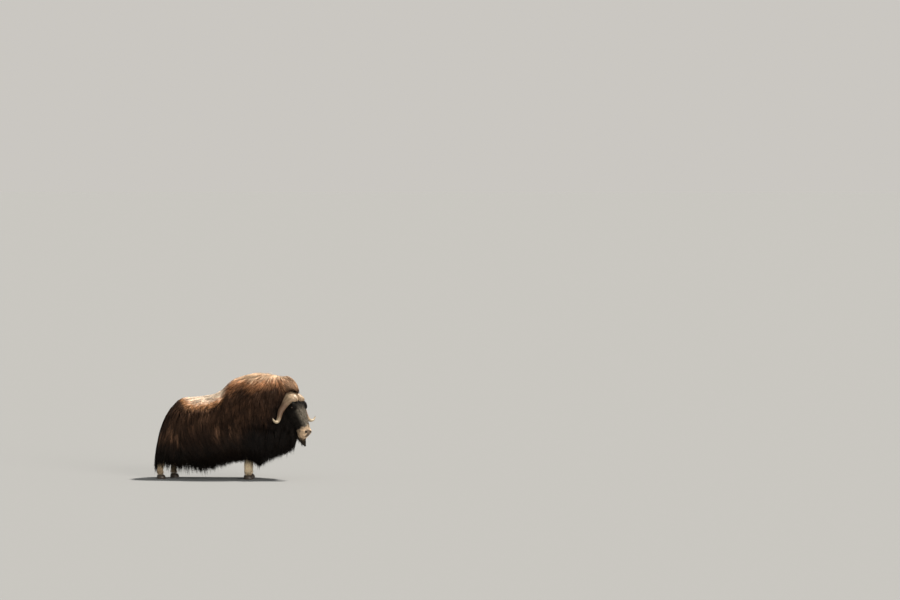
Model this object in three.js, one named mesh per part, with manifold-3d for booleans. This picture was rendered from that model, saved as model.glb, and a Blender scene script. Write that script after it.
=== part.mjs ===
// A life-size standing muskox bull in full coat, as a museum shows one.
// Units are millimetres. +X runs from rump to head, +Y to the animal's left, +Z up.
// The solids follow the outline of the coat; the head is turned to the animal's right.
import * as THREE from "three";
import { mergeVertices } from "three/addons/utils/BufferGeometryUtils.js";
import Module from "manifold-3d";

const wasm = await Module();
wasm.setup();

// Driving sizes
const GAP = 0.3; // left between touching pieces
const RUMP_END = -1229; // rear edge of the skirt, measured from the near front hoof
const MANE_END = 704; // front of the mane, behind the face
const FRONT_HOOF = { x: 18, y: 160, stagger: -26 }; // near foot, and how far the far one stands ahead
const REAR_HOOF = { x: -1128, y: 150, stagger: 128 };
const POLL = new THREE.Vector3(592, -110, 1090); // centre of the skull between the horn bosses
const HEAD_YAW = 40; // degrees, towards the animal's right
const FACE_PITCH = 65; // degrees that the face points below level
const CREST_TO_LIP = 598; // from the poll to the lower lip, along the face
const EYE_RADIUS = 20;
const SOLE_LEVEL = 0;

const rad = THREE.MathUtils.degToRad;
const mix = THREE.MathUtils.lerp;

// Finishes
const finish = (color, roughness) =>
  new THREE.MeshStandardMaterial({ color, roughness, metalness: 0 });
const FLANK_COAT = finish(0x2e1f18, 0.9);
const MANE_COAT = finish(0x5a3a27, 0.9);
const FACE_COAT = finish(0x2b2724, 0.85);
const LEG_COAT = finish(0xc9b393, 0.9);
const HORN = finish(0xbfa083, 0.45);
const HOOF = finish(0x2a231d, 0.5);
const EYE = finish(0x120c08, 0.08);

// A smooth curve through [place, value] pairs that never overshoots them.
function profile(points) {
  const slopes = points.map((p, i) => {
    if (i === 0 || i === points.length - 1) return 0;
    const [before, after] = [points[i - 1], points[i + 1]];
    const left = (p[1] - before[1]) / (p[0] - before[0]);
    const right = (after[1] - p[1]) / (after[0] - p[0]);
    return left * right <= 0 ? 0 : (2 * left * right) / (left + right);
  });
  return (x) => {
    let i = points.findIndex((p) => p[0] > x) - 1;
    if (x <= points[0][0]) return points[0][1];
    if (i < 0) return points[points.length - 1][1];
    const [x0, v0] = points[i];
    const [x1, v1] = points[i + 1];
    const span = x1 - x0;
    const t = (x - x0) / span;
    const s = 1 - t;
    return (
      v0 * s * s * (1 + 2 * t) +
      v1 * t * t * (3 - 2 * t) +
      span * t * s * (slopes[i] * s - slopes[i + 1] * t)
    );
  };
}

// Keeps the sign of a sine or cosine while bending it, which squares or points an oval.
const bent = (value, power) => Math.sign(value) * Math.abs(value) ** power;

// Turns a closed geometry into a solid, with its faces pointing out.
function solid(geometry) {
  const bare = new THREE.BufferGeometry()
    .setAttribute("position", geometry.getAttribute("position"))
    .setIndex(geometry.index);
  const merged = mergeVertices(bare, 1e-3);
  const places = merged.getAttribute("position").array;
  const triangles = new Uint32Array(merged.index.array);
  let volume = 0;
  const corner = [0, 1, 2].map(() => new THREE.Vector3());
  for (let i = 0; i < triangles.length; i += 3) {
    corner.forEach((c, k) => c.fromArray(places, 3 * triangles[i + k]));
    volume += corner[0].dot(corner[1].clone().cross(corner[2]));
  }
  if (volume < 0) {
    for (let i = 0; i < triangles.length; i += 3) {
      [triangles[i + 1], triangles[i + 2]] = [triangles[i + 2], triangles[i + 1]];
    }
  }
  return new wasm.Manifold(
    new wasm.Mesh({ numProp: 3, vertProperties: places, triVerts: triangles }),
  );
}

// Joins rings of points, each with as many points as the next, and closes both ends.
function loft(rings) {
  const count = rings[0].length;
  const centre = (ring) =>
    ring.reduce((sum, p) => sum.add(p), new THREE.Vector3()).divideScalar(count);
  const ends = [centre(rings[0]), centre(rings[rings.length - 1])];
  const places = [...rings.flat(), ...ends].flatMap((p) => p.toArray());
  const faces = [];
  const at = (ring, i) => ring * count + (i % count);
  for (let i = 0; i < count; i++) {
    for (let ring = 0; ring < rings.length - 1; ring++) {
      faces.push(at(ring, i), at(ring, i + 1), at(ring + 1, i + 1));
      faces.push(at(ring, i), at(ring + 1, i + 1), at(ring + 1, i));
    }
    faces.push(rings.length * count, at(0, i + 1), at(0, i));
    faces.push(rings.length * count + 1, at(rings.length - 1, i), at(rings.length - 1, i + 1));
  }
  return solid(
    new THREE.BufferGeometry()
      .setAttribute("position", new THREE.Float32BufferAttribute(places, 3))
      .setIndex(faces),
  );
}

// An oval ring of count points round a centre, in the plane of two axes.
function ovalRing(count, centre, across, along, wide, deep, power = 1) {
  return Array.from({ length: count }, (_, i) => {
    const angle = (2 * Math.PI * i) / count;
    return centre
      .clone()
      .addScaledVector(across, wide * bent(Math.cos(angle), power))
      .addScaledVector(along, deep * bent(Math.sin(angle), power));
  });
}

// An ellipsoid given by its centre and three half-lengths along three axes.
function ellipsoid(centre, axes, radii, detail = 12) {
  const ball = new THREE.SphereGeometry(1, detail, Math.round(detail * 0.7));
  const frame = new THREE.Matrix4().makeBasis(
    axes[0].clone().multiplyScalar(radii[0]),
    axes[1].clone().multiplyScalar(radii[1]),
    axes[2].clone().multiplyScalar(radii[2]),
  );
  return solid(ball.applyMatrix4(frame.setPosition(centre)));
}

// The body in its coat: one loft from rump to mane
const topLine = profile([
  [RUMP_END, 150],
  [-1212, 270],
  [-1180, 503],
  [-1141, 660],
  [-1094, 786],
  [-1030, 897],
  [-959, 978],
  [-880, 1040],
  [-790, 1056],
  [-626, 1068],
  [-468, 1094],
  [-380, 1124],
  [-310, 1186],
  [-246, 1258],
  [-167, 1306],
  [-25, 1352],
  [110, 1384],
  [260, 1380],
  [404, 1368],
  [500, 1350],
  [570, 1318],
  [625, 1264],
  [668, 1180],
  [MANE_END, 980],
]);
const hemLine = profile([
  [RUMP_END, 116],
  [-1100, 108],
  [-800, 100],
  [-623, 114],
  [-465, 146],
  [-244, 208],
  [-118, 250],
  [-20, 236],
  [80, 206],
  [170, 198],
  [291, 262],
  [417, 320],
  [519, 362],
  [600, 430],
  [660, 600],
  [MANE_END, 940],
]);
const halfWidth = profile([
  [RUMP_END, 40],
  [-1219, 120],
  [-1190, 200],
  [-1130, 262],
  [-1030, 305],
  [-880, 338],
  [-650, 362],
  [-400, 384],
  [-150, 396],
  [60, 390],
  [220, 352],
  [330, 300],
  [400, 256],
  [463, 214],
  [530, 192],
  [600, 172],
  [650, 136],
  [680, 84],
  [MANE_END, 16],
]);
const widestHeight = profile([
  [RUMP_END, 140],
  [-1150, 330],
  [-1000, 440],
  [-600, 480],
  [-200, 520],
  [150, 560],
  [400, 640],
  [600, 800],
  [MANE_END, 950],
]);
const bodyBend = profile([
  [200, 0],
  [420, -14],
  [540, -40],
  [620, -68],
  [MANE_END, -98],
]);
// How pointed the back is: the hump is a rounded ridge, the saddle a broad flat.
const backPower = profile([
  [-1229, 1],
  [-950, 0.92],
  [-650, 0.8],
  [-420, 0.84],
  [-150, 0.94],
  [200, 0.92],
  [500, 0.88],
  [MANE_END, 0.95],
]);
const SKIRT_POWER = 0.52; // the hair hangs straight below the widest part

function bodyRing(x, count) {
  const top = topLine(x);
  const hem = hemLine(x);
  const middle = Math.min(Math.max(widestHeight(x), hem + 4), top - 4);
  return Array.from({ length: count }, (_, i) => {
    const angle = (2 * Math.PI * i) / count;
    const up = Math.sin(angle) >= 0;
    const power = up ? backPower(x) : SKIRT_POWER;
    const height = up ? top - middle : middle - hem;
    return new THREE.Vector3(
      x,
      bodyBend(x) + halfWidth(x) * bent(Math.cos(angle), power),
      middle + height * bent(Math.sin(angle), up ? 0.94 : 0.8),
    );
  });
}

const BODY_RINGS = 39;
const BODY_RING_POINTS = 28;
const bodySolid = loft(
  Array.from({ length: BODY_RINGS }, (_, i) => {
    const share = 0.5 - 0.5 * Math.cos((Math.PI * i) / (BODY_RINGS - 1));
    return bodyRing(mix(RUMP_END, MANE_END, share), BODY_RING_POINTS);
  }),
);

// The head's own axes: down the face, to its right side, and out of the forehead
const LEVEL_FORWARD = new THREE.Vector3(Math.cos(rad(HEAD_YAW)), -Math.sin(rad(HEAD_YAW)), 0);
const UP = new THREE.Vector3(0, 0, 1);
const RIGHT = LEVEL_FORWARD.clone().cross(UP);
const FACE = LEVEL_FORWARD.clone()
  .multiplyScalar(Math.cos(rad(FACE_PITCH)))
  .addScaledVector(UP, -Math.sin(rad(FACE_PITCH)));
const BROW = LEVEL_FORWARD.clone()
  .multiplyScalar(Math.sin(rad(FACE_PITCH)))
  .addScaledVector(UP, Math.cos(rad(FACE_PITCH)));

// A point of the head: down the face, to the right, and out of the forehead.
const onHead = (down, right, out) =>
  POLL.clone().addScaledVector(FACE, down).addScaledVector(RIGHT, right).addScaledVector(BROW, out);
// A point near the head by level directions: forward, to the right, and up.
const nearHead = (forward, right, up) =>
  POLL.clone()
    .addScaledVector(LEVEL_FORWARD, forward)
    .addScaledVector(RIGHT, right)
    .addScaledVector(UP, up);

const faceLine = profile([
  [-50, 20],
  [0, 70],
  [70, 92],
  [200, 100],
  [330, 106],
  [440, 102],
  [510, 88],
  [558, 58],
  [588, 24],
  [CREST_TO_LIP, -6],
]);
const jawLine = profile([
  [-50, -90],
  [0, -130],
  [70, -152],
  [180, -168],
  [280, -160],
  [380, -134],
  [460, -106],
  [520, -86],
  [566, -70],
  [590, -48],
  [CREST_TO_LIP, -26],
]);
const cheekWidth = profile([
  [-50, 60],
  [0, 94],
  [70, 116],
  [160, 133],
  [240, 124],
  [320, 100],
  [400, 80],
  [455, 73],
  [510, 75],
  [556, 66],
  [584, 46],
  [CREST_TO_LIP, 16],
]);

const HEAD_RINGS = 16;
const HEAD_RING_POINTS = 20;
const CREST = -22; // where the head loft starts, behind the poll
function headLoft(grow) {
  return loft(
    Array.from({ length: HEAD_RINGS }, (_, i) => {
      const share = Math.sin((Math.PI / 2) * (i / (HEAD_RINGS - 1))) ** 0.9;
      const down = mix(CREST - grow, CREST_TO_LIP + grow, share);
      const front = faceLine(down) + grow;
      const back = jawLine(down) - grow;
      const centre = onHead(down, 0, (front + back) / 2);
      const wide = cheekWidth(down) + grow;
      return ovalRing(HEAD_RING_POINTS, centre, RIGHT, BROW, wide, (front - back) / 2, 0.84);
    }),
  );
}

const SIDES = { left: -1, right: 1 };
const HEAD_AXES = [FACE, RIGHT, BROW];
const EYE_PLACE = { down: 186, aside: 112, out: 46 };
const ORBIT_RADII = [56, 36, 44];
const orbit = (side, grow) =>
  ellipsoid(onHead(180, side * 96, 34), HEAD_AXES, ORBIT_RADII.map((r) => r + grow), 10);
const eyeball = (side, grow) =>
  ellipsoid(
    onHead(EYE_PLACE.down, side * EYE_PLACE.aside, EYE_PLACE.out),
    HEAD_AXES,
    [EYE_RADIUS + grow, EYE_RADIUS + grow, EYE_RADIUS + grow],
    10,
  );

// Nostrils slant across the front of the muzzle, and the mouth is a slit to its corners.
const nostril = (side) => {
  const slant = FACE.clone().multiplyScalar(0.55).addScaledVector(RIGHT, -0.83 * side).normalize();
  const cross = BROW.clone().cross(slant).normalize();
  return ellipsoid(onHead(540, side * 36, 64), [slant, cross, BROW], [19, 8, 16], 8);
};
const mouthSlit = () => ellipsoid(onHead(560, 0, -38), HEAD_AXES, [96, 120, 5], 10);

// Horns: each starts as a broad boss at the midline, drops behind the eye and hooks up outside
const HORN_STATIONS = [
  // forward, aside, up, half-width fore and aft, half-thickness
  [42, -6, -20, 108, 43],
  [41, 44, -17, 108, 47],
  [34, 86, -42, 92, 44],
  [12, 122, -94, 61, 39],
  [0, 155, -142, 47, 34],
  [-3, 202, -202, 37, 29],
  [2, 228, -262, 31, 26],
  [14, 258, -312, 27, 22],
  [26, 296, -336, 22, 19],
  [31, 336, -328, 16, 14],
  [31, 362, -304, 10, 9],
  [29, 374, -282, 3, 3],
];
const FISSURE = 6; // between the two bosses
const BOSS_SLOPE = 35; // degrees that the boss slopes down to the forehead
const HORN_RINGS = 18;
const HORN_RING_POINTS = 12;
function horn(side, grow) {
  const path = new THREE.CatmullRomCurve3(
    HORN_STATIONS.map(([f, r, u]) => nearHead(f, side * r, u)),
    false,
    "centripetal",
  );
  const last = HORN_STATIONS.length - 1;
  const wide = profile(HORN_STATIONS.map((s, i) => [i / last, s[3]]));
  const thick = profile(HORN_STATIONS.map((s, i) => [i / last, s[4]]));
  const rings = Array.from({ length: HORN_RINGS }, (_, i) => {
    const t = i / (HORN_RINGS - 1);
    const tangent = path.getTangent(t);
    const slope = rad(mix(BOSS_SLOPE, 0, Math.min(1, t * 3)));
    const foreAft = LEVEL_FORWARD.clone()
      .multiplyScalar(Math.cos(slope))
      .addScaledVector(UP, -Math.sin(slope));
    foreAft.addScaledVector(tangent, -foreAft.dot(tangent)).normalize();
    const outward = tangent.clone().cross(foreAft).normalize();
    const place = path.getPoint(t);
    return ovalRing(
      HORN_RING_POINTS, place, foreAft, outward, wide(t) + grow, thick(t) + grow, 0.86,
    );
  });
  const aside = RIGHT.clone().multiplyScalar(side);
  return loft(rings).trimByPlane(aside.toArray(), aside.dot(POLL) + FISSURE / 2 - grow);
}

// Ears: short furred leaves behind the horns, mostly sunk in the mane
const EAR = { root: [-64, 112, -100], length: 152, width: 34, depth: 14 };
function ear(side, grow) {
  const direction = LEVEL_FORWARD.clone()
    .multiplyScalar(0.16)
    .addScaledVector(RIGHT, 0.9 * side)
    .addScaledVector(UP, -0.36)
    .normalize();
  const flat = direction.clone().cross(LEVEL_FORWARD).normalize();
  const face = direction.clone().cross(flat).normalize();
  const shape = profile([
    [0, 0.55],
    [0.35, 1],
    [0.7, 0.78],
    [0.92, 0.36],
    [1, 0.08],
  ]);
  const root = nearHead(EAR.root[0], side * EAR.root[1], EAR.root[2]);
  return loft(
    Array.from({ length: 8 }, (_, i) => {
      const t = i / 7;
      const centre = root.clone().addScaledVector(direction, t * (EAR.length + grow));
      return ovalRing(
        10, centre, flat, face, EAR.width * shape(t) + grow, EAR.depth * shape(t) + grow,
      );
    }),
  );
}

// The beard: hair that hangs forward from the chin
function beard(grow) {
  const STATIONS = [
    // forward, up, half-width aside, half-depth
    [120, -486, 40, 40],
    [152, -530, 52, 56],
    [182, -572, 48, 50],
    [212, -610, 34, 32],
    [236, -640, 16, 14],
    [246, -652, 4, 4],
  ];
  return loft(
    STATIONS.map(([forward, up, wide, deep]) =>
      ovalRing(12, nearHead(forward, 0, up), RIGHT, LEVEL_FORWARD, wide + grow, deep + grow, 0.9),
    ),
  );
}

// Legs: from the coronet above the hooves up into the body
const FORELEG = [
  // height, ahead, half-length fore and aft, half-width
  [54, 4, 56, 54],
  [92, -2, 52, 50],
  [130, -4, 50, 46],
  [190, -2, 54, 48],
  [260, 2, 58, 50],
  [330, 6, 64, 56],
  [400, 4, 66, 60],
  [500, -20, 84, 66],
];
const HIND_LEG = [
  [54, 0, 52, 50],
  [92, -8, 48, 46],
  [140, -8, 46, 42],
  [230, 8, 48, 44],
  [320, 34, 54, 46],
  [390, 62, 64, 52],
  [460, 96, 82, 62],
  [540, 134, 104, 72],
];
const LEG_RING_POINTS = 10;
function leg(stations, foot, grow) {
  return loft(
    stations.map(([height, ahead, long, wide], i) => {
      const top = i === stations.length - 1 ? grow : 0;
      const centre = new THREE.Vector3(foot.x + ahead, foot.y, height + top);
      const forward = new THREE.Vector3(1, 0, 0);
      const aside = new THREE.Vector3(0, 1, 0);
      return ovalRing(LEG_RING_POINTS, centre, forward, aside, long + grow, wide + grow, 0.9);
    }),
  );
}

// Hooves: two broad rounded claws on each foot, flat inside and round outside
const HOOF_SHAPE = { long: 62, wide: 56, height: 66, split: 4, spread: 5 };
const HOOF_LEVELS = [
  // share of the height, share of the length, push ahead
  [0, 1, 0],
  [0.2, 1.03, 0],
  [0.6, 0.9, -4],
  [0.8, 0.76, -8],
];
function hoof(foot, scale, claw) {
  const outline = 10;
  const rings = HOOF_LEVELS.map(([up, size, ahead]) =>
    Array.from({ length: outline }, (_, i) => {
      const angle = (Math.PI * i) / (outline - 1);
      const along = Math.cos(angle) * HOOF_SHAPE.long * scale * size;
      const out = Math.max(0, Math.sin(angle)) ** 0.8 * HOOF_SHAPE.wide * scale * size;
      const toe = 1 - 0.22 * Math.max(0, Math.cos(angle)) ** 3;
      return new THREE.Vector3(
        foot.x + 6 + ahead + along,
        foot.y + claw * (HOOF_SHAPE.split + out * toe),
        SOLE_LEVEL + up * HOOF_SHAPE.height,
      );
    }),
  );
  return loft(rings);
}

// The tail: short, and lies hidden down the rump
function tail(grow) {
  const STATIONS = [
    // x, height, half-width, half-depth
    [-1034, 828, 22, 18],
    [-1072, 784, 34, 22],
    [-1108, 724, 36, 24],
    [-1134, 660, 28, 22],
    [-1148, 606, 8, 8],
  ];
  const aside = new THREE.Vector3(0, 1, 0);
  const out = new THREE.Vector3(-0.82, 0, 0.57);
  return loft(
    STATIONS.map(([x, height, wide, deep]) =>
      ovalRing(10, new THREE.Vector3(x, 0, height), aside, out, wide + grow, deep + grow),
    ),
  );
}

// Putting the pieces together: each keeps a gap of GAP to what it is set in
const feet = {
  front_right: { x: FRONT_HOOF.x, y: -FRONT_HOOF.y, stations: FORELEG, scale: 1 },
  front_left: {
    x: FRONT_HOOF.x + FRONT_HOOF.stagger, y: FRONT_HOOF.y, stations: FORELEG, scale: 1,
  },
  rear_right: { x: REAR_HOOF.x, y: -REAR_HOOF.y, stations: HIND_LEG, scale: 0.9 },
  rear_left: {
    x: REAR_HOOF.x + REAR_HOOF.stagger, y: REAR_HOOF.y, stations: HIND_LEG, scale: 0.9,
  },
};

const cutAll = (from, tools) => tools.reduce((left, tool) => left.subtract(tool), from);
const bothSides = (make) => Object.values(SIDES).map((side) => make(side));

const headSolid = cutAll(
  [headLoft(0), ...bothSides((side) => orbit(side, 0))].reduce((sum, next) => sum.add(next)),
  [
    ...bothSides((side) => horn(side, GAP)),
    ...bothSides((side) => ear(side, GAP)),
    ...bothSides((side) => eyeball(side, GAP)),
    ...bothSides(nostril),
    mouthSlit(),
  ],
);

const beardSolid = beard(0).subtract(headLoft(8 * GAP));
const bodyShell = cutAll(bodySolid, [
  headLoft(2 * GAP),
  ...bothSides((side) => orbit(side, 2 * GAP)),
  ...bothSides((side) => horn(side, GAP)),
  ...bothSides((side) => ear(side, GAP)),
  ...Object.values(feet).map((foot) => leg(foot.stations, foot, GAP)),
  tail(GAP),
  beard(GAP),
]);

// Thin sloping cuts part the body into the lengths that a person names.
const PARTINGS = [
  { name: "hindquarters", cut: -700, lean: 0.1 },
  { name: "trunk", cut: -200, lean: 0.12 },
  { name: "shoulders", cut: 330, lean: 0.3 },
  { name: "neck" },
];
function partBody(whole) {
  const pieces = {};
  let rest = whole;
  for (const { name, cut, lean } of PARTINGS) {
    if (cut === undefined) {
      pieces[name] = rest;
      continue;
    }
    const across = new THREE.Vector3(1, 0, lean).normalize();
    const distance = across.dot(new THREE.Vector3(cut, 0, 700));
    const normal = across.toArray();
    const back = across.clone().negate().toArray();
    pieces[name] = rest.trimByPlane(back, -(distance - GAP / 2));
    rest = rest.trimByPlane(normal, distance + GAP / 2);
  }
  return pieces;
}

const whole = new THREE.Group();
function place(name, made, material) {
  const largest = made.decompose().sort((a, b) => b.volume() - a.volume())[0];
  const { vertProperties, triVerts, numProp } = largest.getMesh();
  const geometry = new THREE.BufferGeometry()
    .setAttribute(
      "position",
      new THREE.InterleavedBufferAttribute(
        new THREE.InterleavedBuffer(new Float32Array(vertProperties), numProp), 3, 0,
      ),
    )
    .setIndex(new THREE.BufferAttribute(new Uint32Array(triVerts), 1));
  const piece = new THREE.Mesh(geometry, material);
  piece.name = name;
  whole.add(piece);
}

const body = partBody(bodyShell);
place("hindquarters", body.hindquarters, FLANK_COAT);
place("trunk", body.trunk, FLANK_COAT);
place("shoulders", body.shoulders, MANE_COAT);
place("neck", body.neck, MANE_COAT);
place("head", headSolid, FACE_COAT);
place("beard", beardSolid, FLANK_COAT);
place("tail", tail(0), FLANK_COAT);
for (const [name, side] of Object.entries(SIDES)) {
  place(`horn_${name}`, horn(side, 0), HORN);
  place(`ear_${name}`, ear(side, 0).subtract(horn(side, GAP)), FACE_COAT);
  place(`eye_${name}`, eyeball(side, 0), EYE);
}
for (const [name, foot] of Object.entries(feet)) {
  const claws = { outer: Math.sign(foot.y), inner: -Math.sign(foot.y) };
  let limb = leg(foot.stations, foot, 0);
  for (const [claw, side] of Object.entries(claws)) {
    const made = hoof(foot, foot.scale, side);
    const larger = hoof(foot, foot.scale * 1.006, side);
    limb = limb.subtract(larger);
    place(`hoof_${name}_${claw}`, made, HOOF);
  }
  place(`leg_${name}`, limb, LEG_COAT);
}

// The origin is the middle of the box that the animal fills, on the ground.
const box = new THREE.Box3().setFromObject(whole);
whole.position.set(-(box.min.x + box.max.x) / 2, -(box.min.y + box.max.y) / 2, -box.min.z);

export default whole;
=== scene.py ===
"""A muskox bull in full coat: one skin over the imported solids, locks of hair, horns, hooves and eyes."""

import math

import bpy
import numpy as np
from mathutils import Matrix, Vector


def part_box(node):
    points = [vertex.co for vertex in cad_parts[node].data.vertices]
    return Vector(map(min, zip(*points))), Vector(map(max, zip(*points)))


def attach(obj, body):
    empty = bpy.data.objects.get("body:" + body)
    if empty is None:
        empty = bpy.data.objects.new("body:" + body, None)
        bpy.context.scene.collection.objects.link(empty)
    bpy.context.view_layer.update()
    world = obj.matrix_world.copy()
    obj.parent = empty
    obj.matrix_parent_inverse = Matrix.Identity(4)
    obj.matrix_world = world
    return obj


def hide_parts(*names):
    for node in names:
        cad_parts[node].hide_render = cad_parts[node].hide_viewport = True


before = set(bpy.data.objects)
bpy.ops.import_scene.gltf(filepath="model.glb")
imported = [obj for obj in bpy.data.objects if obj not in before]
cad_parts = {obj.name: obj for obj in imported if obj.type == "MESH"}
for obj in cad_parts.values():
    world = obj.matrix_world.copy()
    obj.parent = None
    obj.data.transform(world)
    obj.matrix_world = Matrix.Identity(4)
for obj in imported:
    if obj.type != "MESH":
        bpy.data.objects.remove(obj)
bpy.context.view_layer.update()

import openvdb as vdb
from mathutils import Vector, kdtree

# Camera
# A long lens far off, a little towards the chest and a little above, as the photo was taken.
# It aims past the animal and over it, so that the animal is small at the lower left of the picture.
SCENE = bpy.context.scene
SCENE.view_settings.view_transform = "Standard"
CAMERA_TURN = math.radians(6)
CAMERA_RISE = math.radians(1.5)
CAMERA_DISTANCE = 65
AIM_RIGHT, AIM_UP = 2.805, 2.32
sight_right = Vector((math.cos(CAMERA_TURN), math.sin(CAMERA_TURN), 0))
sight_back = Vector((
    math.sin(CAMERA_TURN) * math.cos(CAMERA_RISE),
    -math.cos(CAMERA_TURN) * math.cos(CAMERA_RISE),
    math.sin(CAMERA_RISE),
))
sight_up = sight_back.cross(sight_right)


def add(name, data):
    made = bpy.data.objects.new(name, data)
    SCENE.collection.objects.link(made)
    return made


camera = add("camera", bpy.data.cameras.new("camera"))
SCENE.camera = camera
camera.data.sensor_width = 36
camera.data.lens = 200
camera.data.clip_end = 900
camera.location = sight_right * AIM_RIGHT + sight_up * AIM_UP + sight_back * CAMERA_DISTANCE
camera.rotation_euler = sight_back.to_track_quat("Z", "Y").to_euler()


# Light
# A soft sun from above, beyond and ahead of the animal, and a weaker and broader one on its near side.
def sun(name, towards, strength, colour, angle):
    lamp = add(name, bpy.data.lights.new(name, "SUN"))
    lamp.data.energy = strength
    lamp.data.color = colour
    lamp.data.angle = math.radians(angle)
    lamp.rotation_euler = Vector(towards).to_track_quat("Z", "Y").to_euler()


sun("sun", (0.5, 0.35, 1.0), 5.6, (1.0, 0.94, 0.85), 5)
sun("near_fill", (0.7, -1.0, 0.32), 1.7, (1.0, 0.94, 0.86), 25)


# Backdrop
# The sky lights the animal as a hazy one does, and the camera sees it in the tone of the lit floor.
SKY_LIGHT = (0.60, 0.62, 0.60, 1)
SKY_SEEN = (0.591, 0.570, 0.536, 1)


def node(tree, kind, inputs=(), **settings):
    """A node made with its settings and what feeds its inputs, which may be a value or a socket."""
    made = tree.nodes.new(kind)
    for key, value in settings.items():
        setattr(made, key, value)
    for key, value in dict(inputs).items():
        if isinstance(value, bpy.types.NodeSocket):
            tree.links.new(value, made.inputs[key])
        else:
            made.inputs[key].default_value = value
    return made


def sky_world():
    sky = bpy.data.worlds.new("sky")
    sky.use_nodes = True
    tree = sky.node_tree
    lighting = tree.nodes["Background"]
    lighting.inputs["Color"].default_value = SKY_LIGHT
    lighting.inputs["Strength"].default_value = 0.5
    seen = node(tree, "ShaderNodeBackground", {"Color": SKY_SEEN, "Strength": 1.0})
    at_camera = tree.nodes.new("ShaderNodeLightPath").outputs["Is Camera Ray"]
    either = node(tree, "ShaderNodeMixShader", {0: at_camera, 1: lighting.outputs[0], 2: seen.outputs[0]})
    tree.links.new(either.outputs[0], tree.nodes["World Output"].inputs["Surface"])
    return sky


SCENE.world = sky_world()


# Fur
# Guard hair and short hair show fine strands that run along each lock, as tone and as a slight relief.
# The "lock" vector holds the place across and along a lock, and the lock's own number.
def math_node(tree, operation, a, b=0.0):
    return node(tree, "ShaderNodeMath", {0: a, 1: b}, operation=operation).outputs[0]


def noise(tree, vector, scale, detail=3.0, roughness=0.55):
    inputs = {"Vector": vector, "Scale": scale, "Detail": detail, "Roughness": roughness}
    return node(tree, "ShaderNodeTexNoise", inputs).outputs["Fac"]


def remap(tree, value, low, high, to_low, to_high):
    inputs = {"Value": value, 1: low, 2: high, 3: to_low, 4: to_high}
    return node(tree, "ShaderNodeMapRange", inputs).outputs["Result"]


def blend(tree, factor, a, b, kind="MIX"):
    made = node(tree, "ShaderNodeMix", {0: factor, 6: a, 7: b}, data_type="RGBA", blend_type=kind)
    return made.outputs[2]


def attribute(tree, name, output="Vector"):
    return node(tree, "ShaderNodeAttribute", attribute_name=name).outputs[output]


def combine(tree, x=0.0, y=0.0, z=0.0):
    return node(tree, "ShaderNodeCombineXYZ", {0: x, 1: y, 2: z}).outputs[0]


def separate(tree, vector):
    return node(tree, "ShaderNodeSeparateXYZ", {0: vector}).outputs


def strands_group():
    tree = bpy.data.node_groups.new("strands", "ShaderNodeTree")
    for name, kind in (("Coat", "NodeSocketColor"), ("Lock", "NodeSocketVector")):
        tree.interface.new_socket(name, in_out="INPUT", socket_type=kind)
    for name, kind in (("Color", "NodeSocketColor"), ("Height", "NodeSocketFloat")):
        tree.interface.new_socket(name, in_out="OUTPUT", socket_type=kind)
    given = tree.nodes.new("NodeGroupInput")
    across, along, seed = separate(tree, given.outputs["Lock"])
    number = math_node(tree, "MULTIPLY", seed, 57.0)
    across_wave = math_node(tree, "MULTIPLY", across, 1.2)
    along_wave = math_node(tree, "MULTIPLY", along, 0.5)
    fine = noise(tree, combine(tree, across_wave, along_wave, number), 2.6, 3.0, 0.6)
    own = node(tree, "ShaderNodeTexWhiteNoise", {"W": number}, noise_dimensions="1D").outputs["Value"]
    fine_shade = remap(tree, fine, 0.28, 0.72, 0.5, 1.45)
    own_shade = remap(tree, own, 0.0, 1.0, 0.72, 1.3)
    shade = math_node(tree, "MULTIPLY", fine_shade, own_shade)
    grey = node(tree, "ShaderNodeCombineColor", {0: shade, 1: shade, 2: shade}).outputs[0]
    out = tree.nodes.new("NodeGroupOutput")
    tree.links.new(blend(tree, 1.0, given.outputs["Coat"], grey, "MULTIPLY"), out.inputs["Color"])
    tree.links.new(fine, out.inputs["Height"])
    return tree


def material(name, roughness, **inputs):
    made = bpy.data.materials.new(name)
    made.use_nodes = True
    surface = made.node_tree.nodes["Principled BSDF"]
    surface.inputs["Roughness"].default_value = roughness
    for key, value in inputs.items():
        surface.inputs[key.replace("_", " ")].default_value = value
    return made, made.node_tree, surface


def add_relief(tree, surface, height, strength, depth):
    relief = node(tree, "ShaderNodeBump", {"Strength": strength, "Distance": depth, "Height": height})
    tree.links.new(relief.outputs["Normal"], surface.inputs["Normal"])


STRANDS = strands_group()
HAIR_GLEAM = (0.30, 0.19, 0.12, 1)


def fur_material(name, roughness, bump, sheen):
    gleam = {"Sheen_Weight": sheen, "Sheen_Roughness": 0.5, "Sheen_Tint": HAIR_GLEAM}
    made, tree, surface = material(name, roughness, Specular_IOR_Level=0.10, **gleam)
    strands = node(tree, "ShaderNodeGroup", node_tree=STRANDS)
    tree.links.new(attribute(tree, "coat", "Color"), strands.inputs["Coat"])
    tree.links.new(attribute(tree, "lock"), strands.inputs["Lock"])
    tree.links.new(strands.outputs["Color"], surface.inputs["Base Color"])
    add_relief(tree, surface, strands.outputs["Height"], bump, 0.004)
    return made


LONG_FUR = fur_material("long fur", 0.62, 0.5, 0.06)
SHORT_FUR = fur_material("short fur", 0.72, 0.6, 0.08)
SKIN_FUR = fur_material("skin under fur", 0.7, 0.7, 0.0)


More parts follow.
